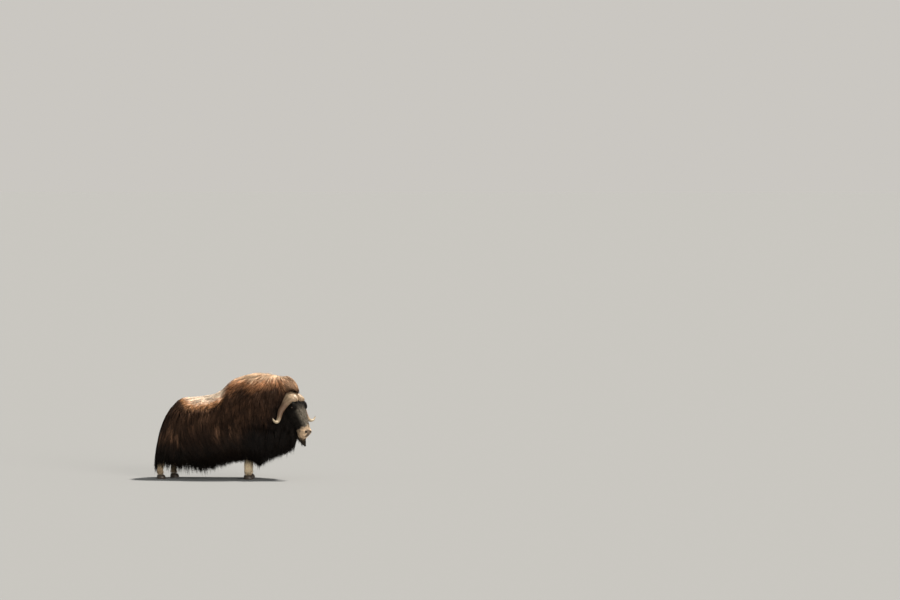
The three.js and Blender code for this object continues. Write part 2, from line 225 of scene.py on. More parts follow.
# Skin of the trunk and legs
# The hide under the coat: one closed form inside the solids by the depth of the hair.
# It ends above the hanging skirt, which is hair alone. Its shape comes from distances to the solids.
TORSO = ["hindquarters", "trunk", "shoulders", "neck"]
LEGS = [f"leg_{end}_{side}" for end in ("front", "rear") for side in ("right", "left")]
HEAD = ["head", "ear_left", "ear_right"]
HORNS = ["horn_left", "horn_right"]
BELLY = 0.43
LEG_COAT = 0.009
LEG_STEP = 0.012


def middle_of(name):
    low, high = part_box(name)
    return (np.array(low) + np.array(high)) / 2


# The body's regions are measured along X from between the front feet.
BODY_X = float(middle_of("hoof_front_right_outer")[0]) - 0.024
BODY_Y = 0.011


def unit(vectors):
    return vectors / np.maximum(np.linalg.norm(vectors, axis=-1, keepdims=True), 1e-9)


def ease(value, low, high):
    share = np.clip((value - low) / (high - low), 0, 1)
    return share * share * (3 - 2 * share)


def soft_join(a, b, reach):
    share = np.clip(0.5 + 0.5 * (b - a) / reach, 0, 1)
    return b * (1 - share) + a * share - reach * share * (1 - share)


def soft_cut(a, b, reach):
    return -soft_join(-a, b, reach)


def fetch(items, key, kind, width=1):
    """One value, or one row of values, for each item of a mesh's list."""
    values = np.zeros(len(items) * width, kind)
    items.foreach_get(key, values)
    return values.reshape(-1, width) if width > 1 else values


def points_and_triangles(mesh):
    mesh.calc_loop_triangles()
    points = fetch(mesh.vertices, "co", np.float32, 3)
    return points, fetch(mesh.loop_triangles, "vertices", np.int32, 3)


def triangles_of(names):
    points, faces, count = [], [], 0
    for name in names:
        own_points, tris = points_and_triangles(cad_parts[name].data)
        points.append(own_points)
        faces.append(tris + count)
        count += len(own_points)
    return np.concatenate(points), np.concatenate(faces)


class Field:
    """Signed distances on a grid of cubes, with their slopes."""

    def __init__(self, values, first, step):
        self.values, self.first, self.step = values, np.array(first), step
        self.slopes = np.stack(np.gradient(values, step), axis=-1)

    def grid(self):
        spans = [self.step * (f + np.arange(n)) for f, n in zip(self.first, self.values.shape)]
        return np.stack(np.meshgrid(*spans, indexing="ij"), axis=-1)

    def corners(self):
        return self.first * self.step, (self.first + self.values.shape) * self.step

    def read(self, points):
        top = np.array(self.values.shape) - 1.001
        place = np.clip(points / self.step - self.first, 0, top)
        low = place.astype(int)
        part = place - low
        distance, slope = 0, 0
        for corner in np.ndindex(2, 2, 2):
            weight = np.prod(np.where(corner, part, 1 - part), axis=1)
            i, j, k = (low + corner).T
            distance = distance + weight * self.values[i, j, k]
            slope = slope + weight[:, None] * self.slopes[i, j, k]
        return distance, unit(slope)


def outer_field(names, step, reach, pad, swell):
    """The distance to the joined outside of some nodes: their inner walls are closed over first."""
    points, faces = triangles_of(names)
    level_set = vdb.FloatGrid.createLevelSetFromPolygons
    fine = vdb.createLinearTransform(voxelSize=step * 0.75)
    coarse = vdb.createLinearTransform(voxelSize=step)
    first = level_set(points, triangles=faces.astype(np.uint32), transform=fine, halfWidth=3.0)
    closed, quads = first.convertToQuads(isovalue=swell)
    grid = level_set(closed, quads=quads, transform=coarse, halfWidth=reach / step)
    low = np.floor((points.min(0) - pad) / step).astype(int)
    high = np.ceil((points.max(0) + pad) / step).astype(int)
    values = np.zeros(high - low + 1, np.float32)
    grid.copyToArray(values, ijk=tuple(int(v) for v in low))
    return Field(values + swell, low, step)


def mesh_of(name, values, first, step):
    grid = vdb.FloatGrid(1.0)
    grid.transform = vdb.createLinearTransform(voxelSize=step)
    grid.copyFromArray(values.astype(np.float32), ijk=tuple(int(v) for v in first))
    points, quads = grid.convertToQuads(isovalue=0.0)
    mesh = bpy.data.meshes.new(name)
    mesh.from_pydata(points.tolist(), [], quads[:, ::-1].tolist())
    return add(name, mesh)


shell = outer_field(TORSO + LEGS + HEAD + ["beard", "tail"], 0.014, 0.35, 0.07, 0.005)
torso = outer_field(TORSO + ["head", "beard", "tail"], 0.0155, 0.3, 0.05, 0.005)
horns = outer_field(HORNS, 0.008, 0.05, 0.06, 0.002)
skull = outer_field(["head"], 0.0035, 0.05, 0.04, 0.0012)


def coat_depth(points):
    """How far the hide lies under the tips of the hair: least on the saddle, crown and hump's ridge."""
    x = points[..., 0] - BODY_X
    z = points[..., 2]
    saddle = ease(x, -0.98, -0.8) * (1 - ease(x, -0.42, -0.28)) * ease(z, 0.88, 0.98)
    hump = ease(x, -0.35, 0.0) * ease(z, 0.9, 1.15)
    mane = ease(x, 0.25, 0.45)
    crown = ease(x, 0.22, 0.42) * ease(z, 1.12, 1.26)
    ridge = ease(x, -0.4, -0.1) * ease(z, 1.2, 1.33) * (1 - crown)
    depth = 0.062 + 0.006 * hump + 0.006 * mane - 0.044 * crown - 0.040 * ridge
    return depth * (1 - saddle) + 0.034 * saddle


area = torso.grid()
inner = torso.values + coat_depth(area)
inner = soft_cut(inner, area[..., 2] - BELLY, 0.05)
spots = area.reshape(-1, 3)
for name in LEGS:
    limb = outer_field([name], LEG_STEP, 0.2, 0.3, 0.004)
    distance, _ = limb.read(spots)
    outside = np.linalg.norm(spots - np.clip(spots, *limb.corners()), axis=1)
    limb_distance = (distance + outside).reshape(inner.shape) + LEG_COAT
    inner = soft_join(inner, limb_distance, 0.03)
skin = mesh_of("skin", inner, torso.first, torso.step)


# Skin of the head
# The hide of the face, as the short hair there shows every form: bridge, muzzle, lips, chin, cheeks,
# brows, lids and nostrils are soft forms added to the skull's distances or cut from them.
# The head's own axes come from the two eyes: "down" the face, "aside" and "out", all from the poll.
SIDES = {"left": -1, "right": 1}
EYE_RADIUS = 0.020
EYE_DOWN, EYE_OUT = 0.186, 0.046
FACE_PITCH = math.radians(65)
eye_middles = {side: middle_of(f"eye_{side}") for side in ("left", "right")}
RIGHT = eye_middles["right"] - eye_middles["left"]
EYE_ASIDE = float(np.linalg.norm(RIGHT)) / 2
RIGHT = RIGHT / (2 * EYE_ASIDE)
UP = np.array([0.0, 0.0, 1.0])
FORWARD = np.cross(UP, RIGHT)
FACE = FORWARD * math.cos(FACE_PITCH) - UP * math.sin(FACE_PITCH)
BROW = FORWARD * math.sin(FACE_PITCH) + UP * math.cos(FACE_PITCH)
HEAD_AXES = np.array([FACE, RIGHT, BROW])
POLL = (eye_middles["left"] + eye_middles["right"]) / 2 - EYE_DOWN * FACE - EYE_OUT * BROW


def on_head(points):
    return (points - POLL) @ HEAD_AXES.T


area = on_head(skull.grid())
face = skull.values + 0.005


def bulge(place, radii, turn=(1, 0, 0), lean=(0, 1, 0)):
    """The distance to an ellipsoid whose first two axes are turn and lean, in the head's axes."""
    first = unit(np.array(turn, float))
    second = unit(np.array(lean, float) - first * np.dot(first, lean))
    axes = np.array([first, second, np.cross(first, second)])
    local = ((area - np.array(place)) @ axes.T) / np.array(radii)
    return (np.linalg.norm(local, axis=-1) - 1) * min(radii)


# Each form has its place, its radii and how widely it blends.
BRIDGE = ((0.35, 0, 0.072), (0.16, 0.046, 0.022), 0.03)
MUZZLE = ((0.52, 0, 0.036), (0.062, 0.07, 0.046), 0.03)
LOWER_LIP = ((0.548, 0, -0.036), (0.046, 0.062, 0.03), 0.02)
CHIN = ((0.556, 0, -0.062), (0.036, 0.044, 0.02), 0.016)
for place, radii, reach in (BRIDGE, MUZZLE, LOWER_LIP, CHIN):
    face = soft_join(face, bulge(place, radii), reach)
for side in SIDES.values():
    eye = (EYE_DOWN, side * EYE_ASIDE, EYE_OUT)
    cheek = bulge((0.215, side * 0.092, -0.06), (0.1, 0.04, 0.066))
    brow = bulge((0.158, side * 0.101, 0.07), (0.042, 0.026, 0.016))
    lids = bulge(eye, (0.029, 0.027, 0.027))
    tear_pit = bulge((0.226, side * 0.101, 0.064), (0.024, 0.006, 0.007))
    face = soft_join(face, cheek, 0.04)
    face = soft_join(face, brow, 0.02)
    face = soft_join(face, lids, 0.012)
    face = soft_cut(face, tear_pit, 0.008)
    gaze = unit(np.array([0.1, side * 0.86, 0.5]))
    corner = np.array([0.8, 0, 0.6])
    corner = unit(corner - gaze * np.dot(corner, gaze))
    lift = np.cross(gaze, corner)
    opening = bulge(np.array(eye) + 0.016 * gaze, (0.0195, 0.0118, 0.02), corner, lift)
    crease = bulge(np.array(eye) + 0.022 * gaze + 0.017 * lift * side, (0.018, 0.0022, 0.004), corner, lift)
    socket = bulge(eye, (EYE_RADIUS + 0.0004,) * 3)
    face = soft_cut(face, opening, 0.004)
    face = soft_cut(face, crease, 0.004)
    face = np.maximum(face, -socket)
    slant = (0.62, -0.78 * side, 0.1)
    nostril_wing = bulge((0.542, side * 0.04, 0.066), (0.03, 0.02, 0.016), slant, (0.3, side, 0.4))
    nostril = bulge((0.546, side * 0.037, 0.075), (0.020, 0.0066, 0.022), slant)
    face = soft_join(face, nostril_wing, 0.014)
    face = soft_cut(face, nostril, 0.006)
lip_cleft = bulge((0.588, 0, 0.034), (0.03, 0.0028, 0.012))
mouth_line = bulge((0.584, 0, -0.034), (0.1, 0.1, 0.0034))
face = soft_cut(face, lip_cleft, 0.005)
face = soft_cut(face, mouth_line, 0.005)
head_skin = mesh_of("head_skin", face, skull.first, skull.step)
face_field = Field(face.astype(np.float32), skull.first, skull.step)


# Skin of the ears
# Each ear is a short furred leaf with a hollow front, mostly sunk in the mane behind the horn.
# Head and ears are then joined to the body, so that the whole hide is one closed mesh.
EAR_COAT = 0.003
ear_field = outer_field(["ear_left", "ear_right"], 0.004, 0.04, 0.02, 0.0015)
ears_skin = mesh_of("ears_skin", ear_field.values + EAR_COAT, ear_field.first, ear_field.step)
for other in (head_skin, ears_skin):
    joined = skin.modifiers.new("join", "BOOLEAN")
    joined.operation = "UNION"
    joined.solver = "MANIFOLD"
    joined.object = other
graph = bpy.context.evaluated_depsgraph_get()
skin_mesh = bpy.data.meshes.new_from_object(skin.evaluated_get(graph))
skin.modifiers.clear()
skin.data = skin_mesh
for other in (head_skin, ears_skin):
    bpy.data.objects.remove(other)


# Markings
# A bull's colours by place: a cream saddle edged with rust, a rust hump whose top edge is a painted cream
# highlight, tan painted light on upward-facing parts of the back, brown flanks streaked with tan that is
# partly hair colour and partly painted sheen, a black skirt and chest with painted shade on the low
# shoulder, a grey nose with painted shadow round the eyes, and a pale muzzle and legs.
# The same colours serve the skin and the locks. They are linear.
BODY_PART, HEAD_PART, LEG_PART = 0, 1, 2
DEEP_BROWN = (0.017, 0.0085, 0.005)
FLANK_BROWN = (0.060, 0.030, 0.017)
STREAK_TAN_AND_SHEEN = (0.11, 0.058, 0.034)
HUMP_RUST = (0.34, 0.155, 0.072)
SHOULDER_BROWN = (0.036, 0.0175, 0.010)
RUMP_BROWN = (0.055, 0.028, 0.016)
PAINTED_TOP_LIGHT_TAN = (0.62, 0.38, 0.22)
PAINTED_RIM_LIGHT_CREAM = (0.90, 0.64, 0.43)
SADDLE_RUST = (0.54, 0.26, 0.115)
SADDLE_CREAM = (0.98, 0.82, 0.66)
SKIRT_BLACK = (0.0035, 0.0025, 0.002)
LOW_SHOULDER_BLACK_AND_SHADE = (0.008, 0.005, 0.0035)
CHEST_BLACK = (0.003, 0.0022, 0.002)
MANE_BLACK = (0.004, 0.003, 0.0025)
CROWN_TAN = (0.39, 0.24, 0.15)
LEG_CREAM = (0.94, 0.78, 0.55)
FETLOCK_TAN = (0.45, 0.33, 0.21)
HIND_LEG_TAN = (0.42, 0.30, 0.19)
FACE_BLACK = (0.007, 0.006, 0.005)
NOSE_GREY = (0.132, 0.114, 0.09)
CHEEK_GREY = (0.024, 0.02, 0.016)
PAINTED_BOSS_SHADOW = (0.006, 0.005, 0.004)
MUZZLE_CREAM = (0.70, 0.51, 0.34)
NOSE_PAD = (0.045, 0.035, 0.03)
NOSTRIL_DARK = (0.018, 0.013, 0.011)
LIP_DARK = (0.022, 0.014, 0.012)
JAW_BLACK = (0.012, 0.009, 0.007)


def mottle(points, size, seed):
    """A soft random pattern from 0 to 1 with patches of about the given size."""
    ways = np.random.default_rng(seed)
    turns = ways.normal(size=(7, 3)) / size
    phases = ways.random(7) * 6.28
    return 0.5 + 0.5 * np.clip(np.sin(points @ turns.T + phases).sum(1) / 3.2, -1, 1)


def tone(points, part):
    """Linear colour of the coat at each point of the body, the head or a leg."""
    x = points[:, 0] - BODY_X
    z = points[:, 2]
    patch = mottle(points, 0.12, 3)
    streak = mottle(points * (1, 1, 0.25), 0.03, 4)
    colour = np.empty((len(points), 3))
    colour[:] = DEEP_BROWN
    _, upward = torso.read(points)
    upward = upward[:, 2]

    def lay(shade, weight):
        colour[:] = colour + (np.array(shade) - colour) * np.clip(weight, 0, 1)[:, None]

    # Towards the shoulder the brown and the tan streaks are made darker: painted shade on the shoulder.
    fore = ease(x, -0.35, 0.0)
    lay(FLANK_BROWN, ease(z, 0.5, 0.85) * (0.3 + 0.7 * patch) * (1 - 0.3 * fore))
    # Tan streaks: partly the hair's own colour, partly painted sheen of glossy guard hair.
    lay(STREAK_TAN_AND_SHEEN, ease(streak, 0.62, 0.95) * ease(z, 0.34, 0.58) * (0.8 - 0.2 * fore))
    lay(HUMP_RUST, ease(z + 0.07 * patch, 1.12, 1.28) * ease(x, -0.5, -0.3))
    band = ease(z + 0.06 * patch, 0.74, 0.96) * (1 - ease(z + 0.06 * patch, 1.13, 1.24))
    lay(SHOULDER_BROWN, band * ease(x, -0.22, -0.05) * 0.85)
    lay(RUMP_BROWN, (1 - ease(x, -0.92, -0.76)) * ease(z + 0.08 * patch, 0.86, 1.04))
    # Painted light: where the trunk's surface faces upward the coat is made tan, as if lit from above.
    lay(PAINTED_TOP_LIGHT_TAN, ease(upward, 0.78, 0.97) * ease(z, 1.0, 1.12) * (0.5 + 0.5 * patch))
    # Painted highlight: the hump's top edge is made cream, standing for the rim light of a sun above and
    # beyond.
    lay(PAINTED_RIM_LIGHT_CREAM, ease(z + 0.04 * patch, 1.25, 1.36) * ease(x, -0.4, -0.2))
    hem = 0.905 + 0.9 * np.maximum(np.abs(x + 0.6) - 0.06, 0) ** 1.45 + 0.03 * (patch - 0.5)
    saddle = ease(x, -0.95, -0.84) * (1 - ease(x, -0.36, -0.25))
    lay(SADDLE_RUST, saddle * ease(z - hem, -0.02, 0.035))
    lay(SADDLE_CREAM, saddle * ease(z - hem, 0.03, 0.11))
    lay(SKIRT_BLACK, (1 - ease(z + 0.1 * patch, 0.3, 0.64)) * 0.95)
    # The low shoulder and chest are made black: partly the hair's own colour, partly painted shade on the
    # shoulder.
    lay(LOW_SHOULDER_BLACK_AND_SHADE, 0.75 * ease(x, -0.42, -0.2) * (1 - ease(z + 0.1 * patch, 0.5, 0.82)))
    lay(CHEST_BLACK, ease(x, -0.14, 0.1) * (1 - ease(z + 0.1 * patch, 0.6, 0.88)))
    lay(MANE_BLACK, ease(x, 0.3, 0.42) * (1 - ease(z, 0.86, 1.04)))
    lay(CROWN_TAN, ease(x + 0.06 * patch, 0.44, 0.6) * ease(z, 1.13, 1.24))
    leg = part == LEG_PART
    lay(LEG_CREAM, leg * (1 - ease(z, 0.4, 0.5)))
    lay(FETLOCK_TAN, leg * (1 - ease(z, 0.07, 0.12)) * 0.6)
    lay(HIND_LEG_TAN, leg * (1 - ease(x, -0.6, -0.4)) * 0.8)
    down, aside, out = on_head(points).T
    side = np.abs(aside)
    head = part == HEAD_PART
    grain = mottle(points, 0.014, 6)
    lay(FACE_BLACK, head)
    lay(NOSE_GREY, head * ease(out, 0.035, 0.09) * ease(down, 0.14, 0.27) * (0.62 + 0.38 * grain))
    cheek = ease(out, -0.06, 0.0) * (1 - ease(out, 0.03, 0.06)) * ease(down, 0.22, 0.32)
    lay(CHEEK_GREY, head * cheek * grain * 0.6)
    # Painted shadow: the face round each eye is made darker, for the shade under the horn boss.
    lay(PAINTED_BOSS_SHADOW, head * (1 - ease(np.hypot(down - 0.19, side - 0.11), 0.034, 0.06)))
    pale = ease(down + 0.03 * grain, 0.46, 0.54) * ease(out, -0.072, -0.05)
    lay(MUZZLE_CREAM, head * pale * (0.7 + 0.3 * grain))
    pad = ease(down, 0.505, 0.53) * (1 - ease(side, 0.02, 0.036)) * ease(out, 0.0, 0.03)
    lay(NOSE_PAD, head * pad * 0.85)
    from_nostril = np.hypot(down - 0.546, side - 0.04)
    lay(NOSTRIL_DARK, head * (1 - ease(from_nostril, 0.013, 0.023)) * ease(out, 0.025, 0.045))
    lay(LIP_DARK, head * (1 - ease(np.abs(out + 0.034), 0.004, 0.009)) * ease(down, 0.47, 0.5))
    lay(JAW_BLACK, head * (1 - ease(out, -0.075, -0.06)))
    return colour


# Which part of the animal a point is on
# The head's own distances decide what is head, and low points near a leg are leg.
leg_middles = np.array([middle_of(name) for name in LEGS])
leg_field = outer_field(LEGS, LEG_STEP, 0.1, 0.05, 0.004)


def leg_distance(points):
    distance, _ = leg_field.read(points)
    return np.abs(distance + LEG_COAT)


def part_of(points):
    on_skull, _ = face_field.read(points)
    first, last = face_field.corners()
    inside = np.all((points > first) & (points < last), axis=1)
    part = np.full(len(points), BODY_PART)
    part[inside & (np.abs(on_skull) < 0.006)] = HEAD_PART
    part[(points[:, 2] < BELLY + 0.01) & (leg_distance(points) < 0.02)] = LEG_PART
    return part


# The skin's colours, fine fur and map
# The short fur that lies flat is tone and relief on the skin itself.
# For the map, faces take one of six flat views, each in its own cell of a row for body, head or legs.
# The body's skin is darkened under the locks: painted shade deep in the coat.
PAINTED_SKIN_SHADE = 0.8


def write_lock(mesh, places):
    made = mesh.attributes.new("lock", "FLOAT_VECTOR", "POINT")
    made.data.foreach_set("vector", np.ascontiguousarray(places, np.float32).ravel())


def write_coat(mesh, colour):
    made = mesh.attributes.new("coat", "FLOAT_COLOR", "POINT")
    opaque = np.concatenate([colour, np.ones((len(colour), 1))], axis=1)
    made.data.foreach_set("color", np.ascontiguousarray(opaque, np.float32).ravel())


def add_map(mesh, places):
    layer = mesh.uv_layers.new(name="OFBake")
    layer.data.foreach_set("uv", np.ascontiguousarray(places, np.float32).ravel())


def finish_piece(made, look, slot, *nodes):
    made.data.materials.clear()
    made.data.materials.append(look)
    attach(made, "root")
    if nodes:
        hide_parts(*nodes)


mesh = skin.data
co, tris = points_and_triangles(mesh)
co = co.astype(float)
skin_part = part_of(co)
painted_under_shade = np.where(skin_part == BODY_PART, PAINTED_SKIN_SHADE, 1.0)[:, None]
write_coat(mesh, tone(co, skin_part) * painted_under_shade)
down, aside, out = on_head(co).T
lie = np.stack([co[:, 0] / 0.006, co[:, 2] / 0.05, np.full(len(co), 0.3)], axis=1)
face_lie = np.stack([aside / 0.004, down / 0.02, np.full(len(co), 0.6)], axis=1)
lie[skin_part == HEAD_PART] = face_lie[skin_part == HEAD_PART]
write_lock(mesh, lie)
mesh.shade_smooth()
face_count = len(mesh.polygons)
normals = fetch(mesh.polygons, "normal", np.float32, 3)
axis = np.argmax(np.abs(normals), axis=1)
cell = axis * 2 + (normals[np.arange(face_count), axis] > 0)
loop_face = np.repeat(np.arange(face_count), fetch(mesh.polygons, "loop_total", np.int32))
loop_point = fetch(mesh.loops, "vertex_index", np.int32)
face_part = np.zeros(face_count)
np.maximum.at(face_part, loop_face, skin_part[loop_point])
spot = (co[loop_point] - co.min(0)) / (co.max(0) - co.min(0)).max()
loop_axis = axis[loop_face][:, None]
flat = np.where(loop_axis == 0, spot[:, [1, 2]], np.where(loop_axis == 1, spot[:, [0, 2]], spot[:, [0, 1]]))
across = (cell[loop_face] + 0.02 + 0.96 * flat[:, 0]) / 6
along = (face_part[loop_face] + 0.02 + 0.96 * flat[:, 1]) / 3
add_map(mesh, np.stack([across, along], axis=1))
finish_piece(skin, SKIN_FUR, "flank_coat", *TORSO, "head", "beard", "tail", "ear_left", "ear_right", *LEGS)


# Roots of the hair
# Many seeded points are spread over the skin by area, more closely on the chin, where the beard grows.
# None is under a horn, in an eye or on a claw. Each coat piece takes its share of them.
SPREAD = 160_000
BEARD_THICKNESS = 5
EYE_CLEARANCE = 0.0275
HOOF_TOP = 0.062
rng = np.random.default_rng(5)
a, b, c = co[tris[:, 0]], co[tris[:, 1]], co[tris[:, 2]]
cross = np.cross(b - a, c - a)
weight = np.linalg.norm(cross, axis=1)
chin = (skin_part == HEAD_PART) & (down > 0.38) & (out < -0.04)
weight[chin[tris[:, 0]]] *= BEARD_THICKNESS
pick = rng.choice(len(tris), SPREAD, p=weight / weight.sum())
u, v = rng.random(SPREAD), rng.random(SPREAD)
flip = u + v > 1
u[flip], v[flip] = 1 - u[flip], 1 - v[flip]
roots = a[pick] + u[:, None] * (b - a)[pick] + v[:, None] * (c - a)[pick]
root_normals = unit(cross)[pick]
root_part = part_of(roots)
on_ear = np.abs(ear_field.read(roots)[0] + EAR_COAT) < 0.004
clear = horns.read(roots)[0] > 0.003
for middle in eye_middles.values():
    clear &= np.linalg.norm(roots - middle, axis=1) > EYE_CLEARANCE
clear &= roots[:, 2] > HOOF_TOP


# The way the hair lies
# Down everywhere, back over the hump and saddle, forward over the crown and along the low flank,
# down the face, and forward from the chin.
def comb(points, part):
    x = points[:, 0] - BODY_X
    z = points[:, 2]
    rump = 1 - ease(x, -1.05, -0.78)
    hump = ease(z, 0.92, 1.18) * ease(x, -0.5, -0.15) * (1 - 0.8 * ease(x, 0.1, 0.42))
    low = (1 - ease(z, 0.25, 0.9)) * ease(x, -1.0, -0.7) * (1 - ease(x, -0.05, 0.25))
    saddle = ease(x, -0.98, -0.8) * (1 - ease(x, -0.45, -0.3)) * ease(z, 0.9, 1.0)
    crown = ease(x, 0.32, 0.6) * ease(z, 1.05, 1.18)
    ahead = -0.06 - 0.2 * rump - 0.62 * hump + 0.9 * low - 1.3 * saddle + 1.1 * crown
    way = np.stack([ahead, -0.35 * crown, -1 + 0.55 * crown + 0.4 * saddle], axis=1)
    head = part == HEAD_PART
    down, aside, out = on_head(points).T
    cheek = 1 - ease(out, -0.05, 0.06)
    on_face = FACE + RIGHT * (0.35 * np.sign(aside) * ease(np.abs(aside), 0.0, 0.05))[:, None]
    on_cheek = np.tile(-UP - 0.35 * FORWARD, (len(points), 1))
    chin = ease(down, 0.42, 0.5) * (1 - ease(out, -0.06, -0.03))
    at_head = on_face * (1 - cheek)[:, None] + on_cheek * cheek[:, None]
    at_head = at_head * (1 - chin)[:, None] + (0.8 * FORWARD - UP) * chin[:, None]
    way[head] = at_head[head]
    way[part == LEG_PART] = (0, 0, -1)
    return unit(way)


# How a lock grows
# A lock of guard hair starts in the hide, rises to the outside of the coat, lies along it and hangs
# free at the hem. It ends early where it would reach the ground, a horn, the face or a leg.
STEPS = 12
STIFFNESS = 0.5
HORN_CLEARANCE = 0.008
GROUND_CLEARANCE = 0.014
LEG_CLEARANCE = 0.035
LEG_SHOWS_BELOW = 0.26


def trace(start, normal, part, length, field, curl, tip_limit, rise_share):
    """The locks' paths, and the share of each that is kept."""
    count = len(start)
    depth, _ = field.read(start)
    layer = rng.random(count) ** 2 * 0.4 - 0.06
    step = length / STEPS
    phase = rng.random(count) * 6.28
    turns = rng.uniform(0.6, 1.8, count)
    spot = start - normal * 0.004
    path = [spot]
    heading = np.zeros_like(start)
    for k in range(STEPS):
        share = (k + 0.5) / STEPS
        distance, slope = field.read(spot)
        way = comb(spot, part)
        hang = np.clip((-slope[:, 2] - 0.15) / 0.45, 0, 1)[:, None] * (part != HEAD_PART)[:, None]
        kept_heading = unit(heading - slope * np.sum(heading * slope, axis=1)[:, None])
        level_way = way - slope * np.sum(way * slope, axis=1)[:, None]
        heading = unit(level_way + STIFFNESS * kept_heading)
        risen = ease(share, 0, rise_share)
        aim_depth = depth * (1 - risen) + layer * depth * risen
        rise = np.clip((aim_depth - distance) / np.maximum(step, 1e-4), -0.8, 0.8)[:, None]
        going = unit(heading + slope * rise)
        going = unit(going * (1 - hang) + (way * 0.35 - UP) * hang)
        sway = np.cross(slope, going) * (curl * np.sin(turns * share * 6.28 + phase))[:, None]
        spot = spot + unit(going + sway) * step[:, None]
        near_horn, away = horns.read(spot)
        spot = spot + away * np.clip(HORN_CLEARANCE - near_horn, 0, 0.03)[:, None]
        path.append(spot)
    path = np.stack(path, axis=1)

    def along_path(read):
        return np.stack([read(path[:, k]) for k in range(STEPS + 1)], axis=1)

    on_body = (part == BODY_PART)[:, None]
    down, aside, out = np.moveaxis(on_head(path), -1, 0)
    over_face = (down > 0.06) & (down < 0.62) & (out > -0.03) & (np.abs(aside) < 0.14)
    over_leg = (along_path(leg_distance) < LEG_CLEARANCE) & (path[:, :, 2] < LEG_SHOWS_BELOW)
    over = along_path(lambda points: field.read(points)[0]) > tip_limit
    over |= path[:, :, 2] < GROUND_CLEARANCE
    over |= along_path(lambda points: horns.read(points)[0]) < 0.001
    over |= on_body & (over_leg | over_face)
    over[:, :2] = False
    first = np.where(over.any(1), over.argmax(1), STEPS)
    return path, first / STEPS


def gather(path, leaders, strength):
    """Each lock leans towards its leader, more so at the tip, which makes tufts."""
    tree = kdtree.KDTree(len(leaders))
    for order, index in enumerate(leaders):
        tree.insert(path[index, 3], order)
    tree.balance()
    own = np.array([leaders[tree.find(point)[1]] for point in path[:, 3]])
    pull = strength * np.linspace(0, 1, STEPS + 1) ** 1.3
    offset = path[own] - path
    span = np.linalg.norm(offset[:, 3], axis=1)
    pull = pull[None, :] * np.clip(1.4 - span / 0.09, 0, 1)[:, None]
    return path + offset * pull[:, :, None], own


def unroll(points, part):
    """Each point's place on an unrolling of the skin: round the trunk, round the head or round a leg."""
    x, y, z = points.T
    flat = np.stack([x, 0.5 * np.arctan2(y - BODY_Y, z - 0.7)], axis=1)
    down, aside, out = on_head(points).T
    round_head = np.stack([down + 3.0, 0.16 * np.arctan2(aside, out + 0.03)], axis=1)
    nearest = np.argmin(np.hypot(x[:, None] - leg_middles[:, 0], y[:, None] - leg_middles[:, 1]), axis=1)
    turn = np.arctan2(y - leg_middles[nearest, 1], x - leg_middles[nearest, 0])
    round_leg = np.stack([z + 5.0 + nearest * 0.7, 0.07 * turn], axis=1)
    flat[part == HEAD_PART] = round_head[part == HEAD_PART]
    flat[part == LEG_PART] = round_leg[part == LEG_PART]
    return flat


def blade_faces(rings):
    """The triangles of one blade: three-sided rings, a closed root and a last point for the tip."""
    faces = []
    for k in range(rings - 1):
        for i in range(3):
            j = (i + 1) % 3
            faces.append((3 * k + i, 3 * k + j, 3 * k + 3 + j))
            faces.append((3 * k + i, 3 * k + 3 + j, 3 * k + 3 + i))
    for i in range(3):
        faces.append((3 * (rings - 1) + i, 3 * (rings - 1) + (i + 1) % 3, 3 * rings))
    faces.append((2, 1, 0))
    return np.array(faces)


def triangle_mesh(name, corners, faces):
    mesh = bpy.data.meshes.new(name)
    mesh.vertices.add(len(corners))
    mesh.vertices.foreach_set("co", corners.astype(np.float32).ravel())
    mesh.loops.add(faces.size)
    mesh.loops.foreach_set("vertex_index", faces.astype(np.int32).ravel())
    mesh.polygons.add(len(faces))
    mesh.polygons.foreach_set("loop_start", np.arange(0, faces.size, 3, dtype=np.int32))
    mesh.polygons.foreach_set("use_smooth", np.ones(len(faces), bool))
    mesh.update(calc_edges=True)
    return mesh


LOCK_HEIGHT = 0.36
PATCH = 0.003
